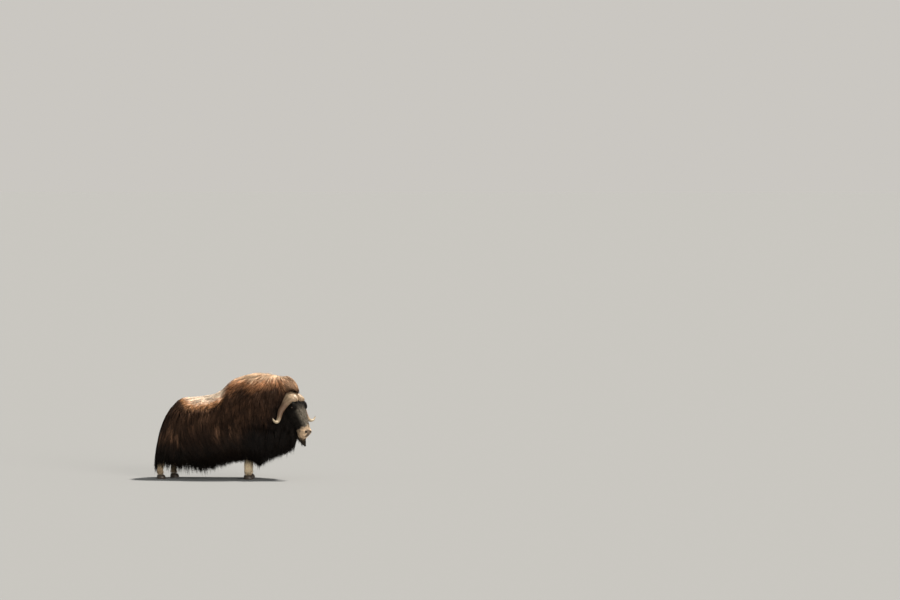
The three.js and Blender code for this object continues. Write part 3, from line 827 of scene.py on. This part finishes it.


# shade is how bright each lock is at its root: painted shade deep in the coat.
def grow(name, mask, count, slot, look, length, wide, points=6, curl=0.12, tuft=14, pull=0.6,
         field=shell, limit=0.012, rise=0.36, shade=0.5, tint=None):
    """One piece of coat: count locks from the masked roots, each a closed tapering three-sided blade."""
    chosen = np.flatnonzero(mask & clear)
    if len(chosen) > count:
        chosen = rng.choice(chosen, count, replace=False)
    clear[chosen] = False
    count = len(chosen)
    start, part, normal = roots[chosen], root_part[chosen], root_normals[chosen]
    lengths = length(start) if callable(length) else np.full(count, length)
    lengths = lengths * rng.uniform(0.72, 1.18, count)
    path, kept = trace(start, normal, part, lengths, field, curl, limit, rise)
    path, own = gather(path, rng.choice(count, max(1, count // tuft), replace=False), pull)
    own_tone = np.exp(rng.normal(0, 0.26, count))[own] * rng.uniform(0.8, 1.2, count)
    own_tone = own_tone[:, None, None]

    at = np.linspace(0, 1, points)
    share = at[None, :] * kept[:, None] * STEPS
    low = np.minimum(share.astype(int), STEPS - 1)
    part_way = (share - low)[:, :, None]
    rows = np.arange(count)[:, None]
    line = path[rows, low] * (1 - part_way) + path[rows, low + 1] * part_way
    tangent = unit(np.gradient(line, axis=1))
    _, slope = field.read(line.reshape(-1, 3))
    beside = unit(np.cross(tangent, slope.reshape(line.shape)))
    above = unit(np.cross(beside, tangent))
    taper = (0.55 + 0.45 * np.sin(np.pi * np.minimum(at * 1.25, 1))) * (1 - at ** 3.2)
    widths = wide * rng.uniform(0.65, 1.35, count)[:, None] * taper[None, :]
    half = 0.5 * widths[:, :, None]
    ring = np.stack([line - beside * half, line + beside * half, line + above * half * LOCK_HEIGHT], axis=2)
    rings = points - 1
    each = rings * 3 + 1
    corners = np.concatenate([ring[:, :-1].reshape(count, rings * 3, 3), line[:, -1:]], axis=1)
    faces = (blade_faces(rings)[None] + (np.arange(count) * each)[:, None, None]).reshape(-1, 3)
    mesh = triangle_mesh(name, corners.reshape(-1, 3), faces)

    across = np.tile(np.append(np.tile([0.0, 1.0, 0.5], rings), 0.5), (count, 1))
    along = np.tile(np.append(np.repeat(at[:-1], 3), 1.0), (count, 1))
    number = np.tile(rng.random(count)[:, None], (1, each))
    lock = np.stack([across * wide / 0.008, along * lengths[:, None] / 0.04, number], axis=-1)
    write_lock(mesh, lock.reshape(-1, 3))

    # Long locks on the body change colour along their length. A shift of the place where each lock
    # reads its colour mixes the edges between two colours.
    shift = (rng.normal(0, 0.1, count) * np.minimum(lengths, 0.24))[:, None, None] * UP
    if np.any(part == BODY_PART):
        colour = tone((corners + shift).reshape(-1, 3), np.repeat(part, each)).reshape(count, each, 3)
        colour = colour * own_tone
    else:
        colour = tone(start, part)[:, None, :] * own_tone
    if tint:
        colour = colour + (np.array(tint) * own_tone - colour) * ease(along, 0.0, 0.1)[:, :, None]
    # Painted shade deep in the coat: each lock is darker at its root, by the factor shade, and a little
    # lighter at its tip.
    painted_root_shade = shade + (1 - shade) * ease(along, 0.0, 0.35) + 0.22 * ease(along, 0.6, 1.0)
    write_coat(mesh, (colour * painted_root_shade[:, :, None]).reshape(-1, 3))

    spread = unroll(start, part)
    spread = 0.01 + 0.98 * (spread - spread.min(0)) / np.maximum(np.ptp(spread, axis=0), 1e-6)
    local = np.stack([across - 0.5, along - 0.5], axis=-1) * PATCH
    places = (spread[:, None, :] + local).reshape(-1, 2)
    add_map(mesh, places[faces.ravel()])
    finish_piece(add(name, mesh), look, slot)


# Long coat of the body
# Guard hair in regions from rump to mane: short and flat on the saddle, longest in the skirt.
# Each region takes roots that the ones before it left. Widths and lengths are in metres.
x = roots[:, 0] - BODY_X
z = roots[:, 2]
not_under = (root_normals[:, 2] > -0.7) | (rng.random(SPREAD) < 0.25)
body = (root_part == BODY_PART) & ~on_ear & not_under
right_side = roots[:, 1] < BODY_Y
saddle_zone = body & (np.hypot((x + 0.6) / 0.34, np.maximum(1.10 - z, 0) / 0.19) < 1)
crown_zone = body & (x > 0.44) & (z > 1.08)
mane_zone = body & (x > 0.3) & (z > 0.78)
chest_zone = body & (x > 0.12) & (z <= 0.78)
rump_zone = body & (x < -0.86)
hump_zone = body & (x > -0.42) & (z > 0.82)
flank_zone = body & (x > -0.86) & (x < 0.12) & ~(hump_zone | saddle_zone)
SKIRT_LOCK = 0.0105


def skirt_length(points):
    """Short on the back, long on the flanks, and down to the hem from the belly line."""
    return 0.2 + 0.24 * (1 - ease(points[:, 2], 0.75, 1.1)) + 0.06 * (1 - ease(points[:, 2], 0.45, 0.6))


grow("coat_saddle", saddle_zone, 5000, "mane_coat", LONG_FUR, 0.17, 0.0085, points=5, tuft=6, pull=0.25,
     shade=0.9)
grow("coat_crown", crown_zone, 3600, "mane_coat", LONG_FUR, 0.16, 0.008, curl=0.14, limit=0.02, rise=0.28,
     shade=0.65)
grow("coat_rump", rump_zone, 4600, "flank_coat", LONG_FUR, skirt_length, SKIRT_LOCK, limit=0.014)
grow("coat_chest", chest_zone, 4600, "flank_coat", LONG_FUR, skirt_length, SKIRT_LOCK, tuft=30, pull=0.8,
     limit=0.02)
for side_name, on_side, count in (("right", right_side, 3000), ("left", ~right_side, 2600)):
    grow(f"coat_mane_{side_name}", mane_zone & on_side, count, "mane_coat", LONG_FUR, 0.26, 0.0095,
         rise=0.26)
for side_name, on_side, count in (("right", right_side, 4600), ("left", ~right_side, 3800)):
    grow(f"coat_hump_{side_name}", hump_zone & on_side, count, "mane_coat", LONG_FUR, 0.24, 0.0095,
         pull=0.45, shade=0.75)
for side_name, on_side, count in (("right", right_side, 6400), ("left", ~right_side, 5200)):
    grow(f"coat_flank_{side_name}", flank_zone & on_side, count, "flank_coat", LONG_FUR, skirt_length,
         SKIRT_LOCK)


# Beard and throat
# A dark tuft that hangs from the chin, and black hair under the jaw that runs into the mane.
down, aside, out = on_head(roots).T
head_roots = root_part == HEAD_PART
chin_front = np.where(down > 0.53, -0.046, -0.055)
beard_zone = head_roots & (down > 0.38) & (out < chin_front) & (np.abs(aside) < 0.055)
throat_zone = head_roots & (down <= 0.5) & (out < -0.07)
BEARD_BROWN = (0.026, 0.021, 0.015)
THROAT_BLACK = (0.006, 0.005, 0.004)
grow("coat_beard", beard_zone, 2200, "flank_coat", LONG_FUR, 0.2, 0.006, curl=0.2, tuft=6, pull=0.35,
     tint=BEARD_BROWN)
grow("coat_throat", throat_zone, 1800, "flank_coat", LONG_FUR, 0.14, 0.007, tint=THROAT_BLACK)


# Short hair of the face, ears and legs
# Flat hair of a centimetre or two on the face, finest on the muzzle, with bare nose pad and lips.
muzzle_zone = head_roots & (down > 0.5)
pad = (down > 0.51) & (np.abs(aside) < 0.05) & (out > 0.03)
lips = np.abs(out + 0.034) < 0.006


def face_length(points):
    """Shortest on the nose, longer on the forehead, and longest where the cheek meets the mane."""
    down, _, out = on_head(points).T
    return 0.016 + 0.03 * (1 - ease(down, 0.04, 0.15)) + 0.06 * (1 - ease(out, -0.07, 0.05))


grow("coat_face", head_roots & ~muzzle_zone, 9000, "face_coat", SHORT_FUR, face_length, 0.0034, points=4,
     field=face_field, curl=0.08, tuft=6, pull=0.4, limit=0.016, shade=0.75)
grow("coat_muzzle", muzzle_zone & ~pad & ~lips, 2600, "face_coat", SHORT_FUR, 0.009, 0.0022, points=3,
     field=face_field, curl=0.08, tuft=5, pull=0.3, limit=0.006, shade=0.8)
grow("coat_ears", on_ear, 900, "face_coat", SHORT_FUR, 0.03, 0.004, points=4, field=ear_field, limit=0.01)
grow("coat_legs", root_part == LEG_PART, 6500, "leg_coat", SHORT_FUR, 0.034, 0.004, points=4, curl=0.06,
     tuft=5, pull=0.35, limit=0.004, shade=0.9)


# Horns
# Horn sheaths over bone: broad rough bosses that all but meet on the forehead, ridged and browner
# down behind the eyes, then smooth pale hooks. They are lofts along the same stations as the solids.
HORN_STATIONS = np.array([
    # forward, aside, up, half-width fore and aft, half-thickness, in millimetres from the poll
    [42, 1, -20, 108, 43],
    [41, 44, -17, 108, 47],
    [34, 86, -42, 92, 44],
    [12, 122, -94, 61, 39],
    [0, 155, -142, 47, 34],
    [-3, 202, -202, 37, 29],
    [2, 228, -262, 31, 26],
    [14, 258, -312, 27, 22],
    [26, 296, -336, 22, 19],
    [31, 336, -328, 16, 14],
    [31, 362, -304, 10, 9],
    [29, 374, -282, 3, 3],
]) / 1000
HORN_RINGS, HORN_POINTS = 120, 64
BOSS_SLOPE = math.radians(35)
BOSS_DARK, BOSS_CREAM = (0.22, 0.135, 0.078, 1), (0.52, 0.39, 0.26, 1)
SHAFT_DARK, SHAFT_BROWN = (0.075, 0.036, 0.022, 1), (0.20, 0.115, 0.072, 1)
HOOK_CREAM = (0.48, 0.40, 0.285, 1)
TIP_BROWN = (0.05, 0.035, 0.025, 1)


def smooth_rows(rows, count):
    """A curve through the rows with the slope at each row taken from its neighbours."""
    slopes = np.gradient(rows, axis=0)
    at = np.linspace(0, len(rows) - 1, count)
    low = np.minimum(at.astype(int), len(rows) - 2)
    t = (at - low)[:, None]
    s = 1 - t
    return (
        rows[low] * s * s * (1 + 2 * t)
        + rows[low + 1] * t * t * (3 - 2 * t)
        + t * s * (slopes[low] * s - slopes[low + 1] * t)
    )


def horn_material():
    made, tree, surface = material("horn", 0.42, Specular_IOR_Level=0.4)
    around, along, seed = separate(tree, attribute(tree, "lock"))
    around_wave = math_node(tree, "MULTIPLY", around, 16.0)
    along_wave = math_node(tree, "MULTIPLY", along, 3.0)
    grain = noise(tree, combine(tree, around_wave, along_wave, seed), 2.2, 5.0, 0.65)
    streak = remap(tree, grain, 0.3, 0.7, 0, 1)
    colour = blend(tree, streak, BOSS_DARK, BOSS_CREAM)
    stained = blend(tree, streak, SHAFT_DARK, SHAFT_BROWN)
    below_boss = remap(tree, along, 0.18, 0.36, 0, 1)
    above_hook = remap(tree, along, 0.54, 0.64, 1, 0)
    shaft = math_node(tree, "MULTIPLY", below_boss, above_hook)
    colour = blend(tree, math_node(tree, "MULTIPLY", shaft, 0.85), colour, stained)
    hook = remap(tree, along, 0.58, 0.74, 0, 1)
    colour = blend(tree, math_node(tree, "MULTIPLY", hook, 0.75), colour, HOOK_CREAM)
    colour = blend(tree, remap(tree, along, 0.95, 0.995, 0, 1), colour, TIP_BROWN)
    tree.links.new(colour, surface.inputs["Base Color"])
    add_relief(tree, surface, grain, 0.5, 0.004)
    return made


def with_ends(rings):
    """The points of the rings, then the middle of the first ring and of the last."""
    return np.concatenate([rings.reshape(-1, 3), rings[0].mean(0)[None], rings[-1].mean(0)[None]])


def tube(name, rings):
    """A closed smooth mesh through rings of points, with a point at the middle of each end."""
    count, around = rings.shape[:2]
    points = with_ends(rings)
    faces = []
    for k in range(count - 1):
        for i in range(around):
            j = (i + 1) % around
            faces.append((k * around + i, k * around + j, (k + 1) * around + j, (k + 1) * around + i))
    for i in range(around):
        j = (i + 1) % around
        faces.append((count * around, j, i))
        faces.append((count * around + 1, (count - 1) * around + i, (count - 1) * around + j))
    mesh = bpy.data.meshes.new(name)
    mesh.from_pydata(points.tolist(), [], faces)
    volume = 0
    for face in mesh.polygons:
        corners = [mesh.vertices[index].co for index in face.vertices]
        for second, third in zip(corners[1:], corners[2:]):
            volume += corners[0].dot(second.cross(third))
    if volume < 0:
        mesh.flip_normals()
    mesh.shade_smooth()
    return add(name, mesh)


def wave(a, b, seed):
    """A repeatable rough pattern of two coordinates, from a few crossed waves."""
    total = 0
    for n, (fa, fb) in enumerate(((1.0, 0.3), (1.9, -0.7), (3.1, 1.1), (4.3, -1.9), (6.1, 2.3))):
        total = total + np.sin(fa * a + fb * b + seed * (n + 1) * 1.7) / (n + 1)
    return total / 2


def flatten_round(value):
    return np.sign(value) * np.abs(value) ** 0.86


HORN = horn_material()
for side_name, side in SIDES.items():
    rows = smooth_rows(HORN_STATIONS, HORN_RINGS)
    centre = POLL + rows[:, :1] * FORWARD + side * rows[:, 1:2] * RIGHT + rows[:, 2:3] * UP
    tangent = unit(np.gradient(centre, axis=0))
    t = np.linspace(0, 1, HORN_RINGS)
    slope = BOSS_SLOPE * (1 - np.minimum(1, t * 3))[:, None]
    fore = FORWARD * np.cos(slope) - UP * np.sin(slope)
    fore = unit(fore - tangent * np.sum(fore * tangent, axis=1)[:, None])
    outward = unit(np.cross(tangent, fore))
    angle = np.linspace(0, 2 * np.pi, HORN_POINTS, endpoint=False)
    around = angle[None, :]
    along = t[:, None]
    boss = 1 - ease(along, 0.16, 0.4)
    ridges = 0.0016 * wave(around * 7, along * 16, 1 + side) * (1 - ease(along, 0.55, 0.75))
    split = np.abs(np.sin(around * 9 + 2.2 * wave(along * 20, around, 3)))
    cracks = -0.006 * boss * ease(split, 0.75, 1.0)
    plates = 0.004 * boss * wave(along * 50, around * 5, 2)
    round_end = 1 - 0.16 * (1 - ease(along, 0.0, 0.06))
    grown = ridges + cracks + plates
    wide = (rows[:, 3:4] + grown) * round_end
    thick = (rows[:, 4:5] + grown) * round_end
    rings = (
        centre[:, None, :]
        + fore[:, None, :] * (wide * flatten_round(np.cos(angle))[None, :])[:, :, None]
        + outward[:, None, :] * (thick * flatten_round(np.sin(angle))[None, :])[:, :, None]
    )
    made = tube(f"horns_{side_name}", rings)
    across = np.tile(np.minimum(angle, 2 * np.pi - angle) / np.pi, (HORN_RINGS, 1))
    lengthwise = np.tile(along, (1, HORN_POINTS))
    places = np.stack([across, lengthwise, np.full(across.shape, side * 3.0)], axis=-1)
    places = np.concatenate([places.reshape(-1, 3), [[0.5, 0, 0], [0.5, 1, 0]]])
    write_lock(made.data, places)
    finish_piece(made, HORN, "horn", f"horn_{side_name}")


# Eyes
# Dark brown balls with a level oval pupil and a wet surface, set between the lids.
PUPIL_HALF_WIDTH, PUPIL_HALF_HEIGHT = 0.0075, 0.0035
PUPIL_BLACK, IRIS_BROWN = (0.003, 0.003, 0.004, 1), (0.03, 0.013, 0.006, 1)
WHITE_BROWN = (0.025, 0.016, 0.012, 1)


def eye_material():
    made, tree, surface = material("eye", 0.08, Specular_IOR_Level=0.3, Coat_Weight=0.5, Coat_Roughness=0.02)
    level, upright, from_gaze = separate(tree, attribute(tree, "lock"))
    level_share = math_node(tree, "DIVIDE", level, PUPIL_HALF_WIDTH)
    upright_share = math_node(tree, "DIVIDE", upright, PUPIL_HALF_HEIGHT)
    level_part = math_node(tree, "POWER", level_share, 2.0)
    upright_part = math_node(tree, "POWER", upright_share, 2.0)
    pupil = math_node(tree, "ADD", level_part, upright_part)
    colour = blend(tree, remap(tree, pupil, 0.8, 1.3, 0, 1), PUPIL_BLACK, IRIS_BROWN)
    colour = blend(tree, remap(tree, from_gaze, 0.0125, 0.014, 0, 1), colour, WHITE_BROWN)
    tree.links.new(colour, surface.inputs["Base Color"])
    return made


EYE = eye_material()
for side_name, side in SIDES.items():
    gaze = unit(np.array([0.1, side * 0.86, 0.5]) @ HEAD_AXES)
    level = unit(np.cross(UP, gaze))
    upward = np.cross(gaze, level)
    polar = np.linspace(0.04, np.pi - 0.04, 40)[:, None]
    angle = np.linspace(0, 2 * np.pi, 48, endpoint=False)[None, :]
    cornea = 1 + 0.05 * np.exp(-((polar / 0.5) ** 4))
    beside = np.sin(polar) * np.cos(angle)
    above = np.sin(polar) * np.sin(angle)
    rings = eye_middles[side_name] + EYE_RADIUS * (
        (cornea * np.cos(polar))[:, :, None] * gaze + beside[:, :, None] * level + above[:, :, None] * upward
    )
    made = tube(f"eyeball_{side_name}", rings)
    from_gaze = np.tile(np.sin(np.minimum(polar, 1.57)), (1, 48))
    places = EYE_RADIUS * np.stack([beside, above, from_gaze], axis=-1)
    places = np.concatenate([places.reshape(-1, 3), [[0, 0, 0], [0, 0, EYE_RADIUS]]])
    write_lock(made.data, places)
    finish_piece(made, EYE, "eye", f"eye_{side_name}")


# Hooves
# Two dark horn claws to a foot, flat on the inner side, rounded in front, with faint growth rings.
# The hind claws are smaller. Each level of a claw has its height, its size and how far it sits ahead.
CLAW_HALF_LENGTH, CLAW_WIDTH, CLAW_HEIGHT = 0.062, 0.056, 0.066
CLAW_SCALE = {"front": 1.0, "rear": 0.9}
CLAW_LEVELS = np.array([
    [0, 0.985, 0],
    [0.02, 1, 0],
    [0.2, 1.03, 0],
    [0.45, 0.97, -0.0015],
    [0.62, 0.9, -0.004],
    [0.8, 0.76, -0.008],
])
CLAW_RINGS, CLAW_POINTS = 22, 40
HOOF_DARK, HOOF_BROWN = (0.022, 0.016, 0.012, 1), (0.085, 0.062, 0.045, 1)


def hoof_material():
    made, tree, surface = material("hoof", 0.45)
    _, _, height = separate(tree, attribute(tree, "lock"))
    rings = noise(tree, combine(tree, z=math_node(tree, "MULTIPLY", height, 160.0)), 1.0, 2.0)
    tree.links.new(blend(tree, rings, HOOF_DARK, HOOF_BROWN), surface.inputs["Base Color"])
    add_relief(tree, surface, rings, 0.4, 0.002)
    return made


HOOF = hoof_material()


def make_claw(end, side_name, claw, twin):
    name = f"hoof_{end}_{side_name}_{claw}"
    low, high = (np.array(corner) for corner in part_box(name))
    beside_twin = (low[1] + high[1]) / 2 - middle_of(f"hoof_{end}_{side_name}_{twin}")[1]
    outward = math.copysign(1, beside_twin)
    inner_y = low[1] if outward > 0 else high[1]
    half_length = CLAW_HALF_LENGTH * CLAW_SCALE[end]
    width = CLAW_WIDTH * CLAW_SCALE[end]
    middle_x = high[0] - half_length * 1.03
    angle = np.linspace(0, np.pi, CLAW_POINTS)
    toe = 1 - 0.22 * np.maximum(0, np.cos(angle)) ** 3
    rings = []
    for up, size, ahead in smooth_rows(CLAW_LEVELS, CLAW_RINGS):
        swell = 1 + 0.006 * math.sin(up * 60)
        x = middle_x + ahead + np.cos(angle) * half_length * size * swell
        out = np.maximum(0, np.sin(angle)) ** 0.8 * width * size * toe * swell
        rings.append(np.stack([x, inner_y + outward * out, np.full(CLAW_POINTS, up * CLAW_HEIGHT)], axis=1))
    rings = np.array(rings)
    made = tube(f"claw_{end}_{side_name}_{claw}", rings)
    made.data.set_sharp_from_angle(angle=math.radians(40))
    write_lock(made.data, with_ends(rings))
    finish_piece(made, HOOF, "hoof", name)


for end in ("front", "rear"):
    for side_name in ("right", "left"):
        make_claw(end, side_name, "outer", "inner")
        make_claw(end, side_name, "inner", "outer")


# Floor
# A very wide plain pale floor, level with the soles.
bpy.ops.mesh.primitive_plane_add(size=1600)
floor = bpy.context.object
floor.name = "floor"
paint, _, _ = material("floor", 0.9, Specular_IOR_Level=0.0, Base_Color=(0.30, 0.305, 0.31, 1))
floor.data.materials.append(paint)
